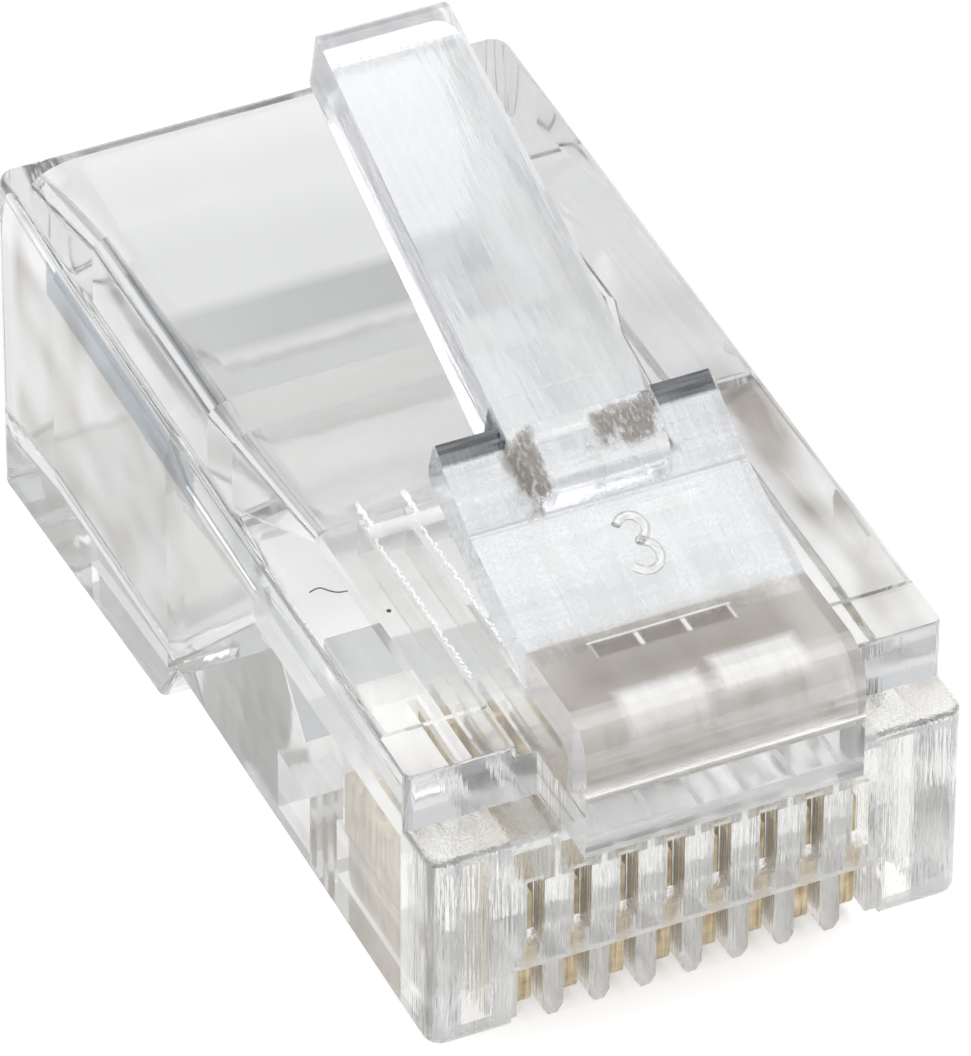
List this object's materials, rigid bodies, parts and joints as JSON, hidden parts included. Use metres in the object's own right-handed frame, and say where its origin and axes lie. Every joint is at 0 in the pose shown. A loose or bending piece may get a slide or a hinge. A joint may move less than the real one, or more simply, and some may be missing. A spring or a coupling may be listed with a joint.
{
  "type": "rj45 modular plug",
  "caption": "Clear modular plug for network cable: moulded body with a hinged latch, a row of blade contacts and a cable entry with a strain relief bar.",
  "frame": {"origin": "under the middle of the plug's overall length and width, at the level of its lowest edge, with the nose's contact side level", "axes": "+Y from the nose to the cable entry, +Z towards the latch side, +X across the contacts"},
  "size_m": [0.0116, 0.0232, 0.0151],
  "materials": {
    "clear_polycarbonate": "clear moulded polycarbonate, glossy with fine mould lines",
    "frosted_polycarbonate": "clear polycarbonate with a lightly frosted plate",
    "gold_plated_bronze": "thin gold plating over phosphor bronze, satin"
  },
  "bodies": {
    "housing": {"housing": "clear_polycarbonate"},
    "latch": {"latch": "frosted_polycarbonate"},
    "strain_relief_bar": {"strain_relief_bar": "clear_polycarbonate"},
    "contact_1": {"contact_1": "gold_plated_bronze"},
    "contact_2": {"contact_2": "gold_plated_bronze"},
    "contact_3": {"contact_3": "gold_plated_bronze"},
    "contact_4": {"contact_4": "gold_plated_bronze"},
    "contact_5": {"contact_5": "gold_plated_bronze"},
    "contact_6": {"contact_6": "gold_plated_bronze"},
    "contact_7": {"contact_7": "gold_plated_bronze"},
    "contact_8": {"contact_8": "gold_plated_bronze"}
  },
  "joints": [
    {"name": "latch_hinge", "type": "hinge", "parent": "housing", "child": "latch", "pos_m": [0, -0.01123, 0.0087], "axis": [-1, 0, 0], "range_deg": [0, 19], "stiffness_Nm_per_rad": 0.12},
    {"name": "strain_relief_hinge", "type": "hinge", "parent": "housing", "child": "strain_relief_bar", "pos_m": [0, 0.00443, 0.00105], "axis": [1, 0, 0], "range_deg": [0, 25]},
    {"name": "contact_1_press", "type": "slide", "parent": "housing", "child": "contact_1", "axis": [0, 0, 1], "range_m": [0, 0.0004]},
    {"name": "contact_2_press", "type": "slide", "parent": "housing", "child": "contact_2", "axis": [0, 0, 1], "range_m": [0, 0.0004]},
    {"name": "contact_3_press", "type": "slide", "parent": "housing", "child": "contact_3", "axis": [0, 0, 1], "range_m": [0, 0.0004]},
    {"name": "contact_4_press", "type": "slide", "parent": "housing", "child": "contact_4", "axis": [0, 0, 1], "range_m": [0, 0.0004]},
    {"name": "contact_5_press", "type": "slide", "parent": "housing", "child": "contact_5", "axis": [0, 0, 1], "range_m": [0, 0.0004]},
    {"name": "contact_6_press", "type": "slide", "parent": "housing", "child": "contact_6", "axis": [0, 0, 1], "range_m": [0, 0.0004]},
    {"name": "contact_7_press", "type": "slide", "parent": "housing", "child": "contact_7", "axis": [0, 0, 1], "range_m": [0, 0.0004]},
    {"name": "contact_8_press", "type": "slide", "parent": "housing", "child": "contact_8", "axis": [0, 0, 1], "range_m": [0, 0.0004]}
  ]
}
